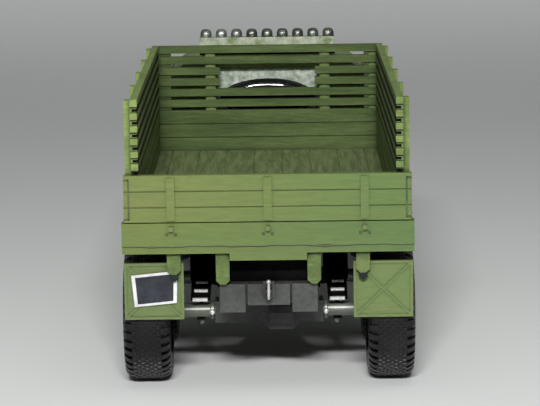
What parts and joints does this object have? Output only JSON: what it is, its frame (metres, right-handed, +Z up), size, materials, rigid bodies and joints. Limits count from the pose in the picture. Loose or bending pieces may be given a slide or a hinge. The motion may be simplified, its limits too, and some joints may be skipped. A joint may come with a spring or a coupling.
{
  "type": "military cargo truck scale model",
  "caption": "Scale model of a bonneted military cargo truck with a slatted cargo bed, a hollow cab and free-rolling wheelsets on steel rods.",
  "frame": {"origin": "centre of the footprint, on the surface the wheels stand on", "axes": "+Y forwards along the truck, +X to its right, +Z up"},
  "size_m": [0.0616, 0.172, 0.0663],
  "materials": {
    "green_paint": "satin brushed military green",
    "grey_underframe": "matt dark grey moulding",
    "axle_steel": "bright drawn steel",
    "tyre_rubber": "dark rubber",
    "black_rubber": "black rubber",
    "glazing": "clear glazing",
    "bare_metal": "bare light metal",
    "seat_vinyl": "dark matt moulding",
    "lamp_lens": "pale lens and rim"
  },
  "bodies": {
    "truck": {"chassis_frame": "grey_underframe", "rear_crossmember": "grey_underframe", "rear_axle_casing": "grey_underframe", "middle_axle_casing": "grey_underframe", "front_axle_casing": "grey_underframe", "rear_springs": "grey_underframe", "front_springs": "grey_underframe", "bogie_pivot": "grey_underframe", "transfer_case": "grey_underframe", "propeller_shafts": "grey_underframe", "engine_sump": "grey_underframe", "cab_inside": "grey_underframe", "tow_hook": "axle_steel", "mudflap_buffers": "black_rubber", "rear_window_rubber": "black_rubber", "cab_glazing": "glazing", "ribbed_roof_box": "bare_metal", "rear_window_panel": "bare_metal", "cab_seat": "seat_vinyl", "steering_wheel": "seat_vinyl", "headlamps": "lamp_lens", "front_bumper": "green_paint", "fuel_tanks": "green_paint", "running_boards": "green_paint", "bed_bearers": "green_paint", "bed_floor": "green_paint", "rear_sill": "green_paint", "tailgate": "green_paint", "tailgate_hinges": "green_paint", "side_boards": "green_paint", "side_racks": "green_paint", "headboard": "green_paint", "tail_brackets": "green_paint", "mudflaps": "green_paint", "cab_shell": "green_paint", "mirrors": "green_paint", "hood": "green_paint", "front_fenders": "green_paint", "radiator_grille": "green_paint"},
    "front_wheelset": {"axle_rod_front": "axle_steel", "wheels_front": "green_paint", "tyres_front": "tyre_rubber"},
    "middle_wheelset": {"axle_rod_middle": "axle_steel", "wheels_middle": "green_paint", "tyres_middle": "tyre_rubber"},
    "rear_wheelset": {"axle_rod_rear": "axle_steel", "wheels_rear": "green_paint", "tyres_rear": "tyre_rubber"}
  },
  "joints": [
    {"name": "front_wheels_roll", "type": "hinge", "parent": "truck", "child": "front_wheelset", "pos_m": [0, 0.059, 0.01465], "axis": [1, 0, 0], "continuous": true},
    {"name": "middle_wheels_roll", "type": "hinge", "parent": "truck", "child": "middle_wheelset", "pos_m": [0, -0.0325, 0.01465], "axis": [1, 0, 0], "continuous": true},
    {"name": "rear_wheels_roll", "type": "hinge", "parent": "truck", "child": "rear_wheelset", "pos_m": [0, -0.0665, 0.01465], "axis": [1, 0, 0], "continuous": true}
  ]
}
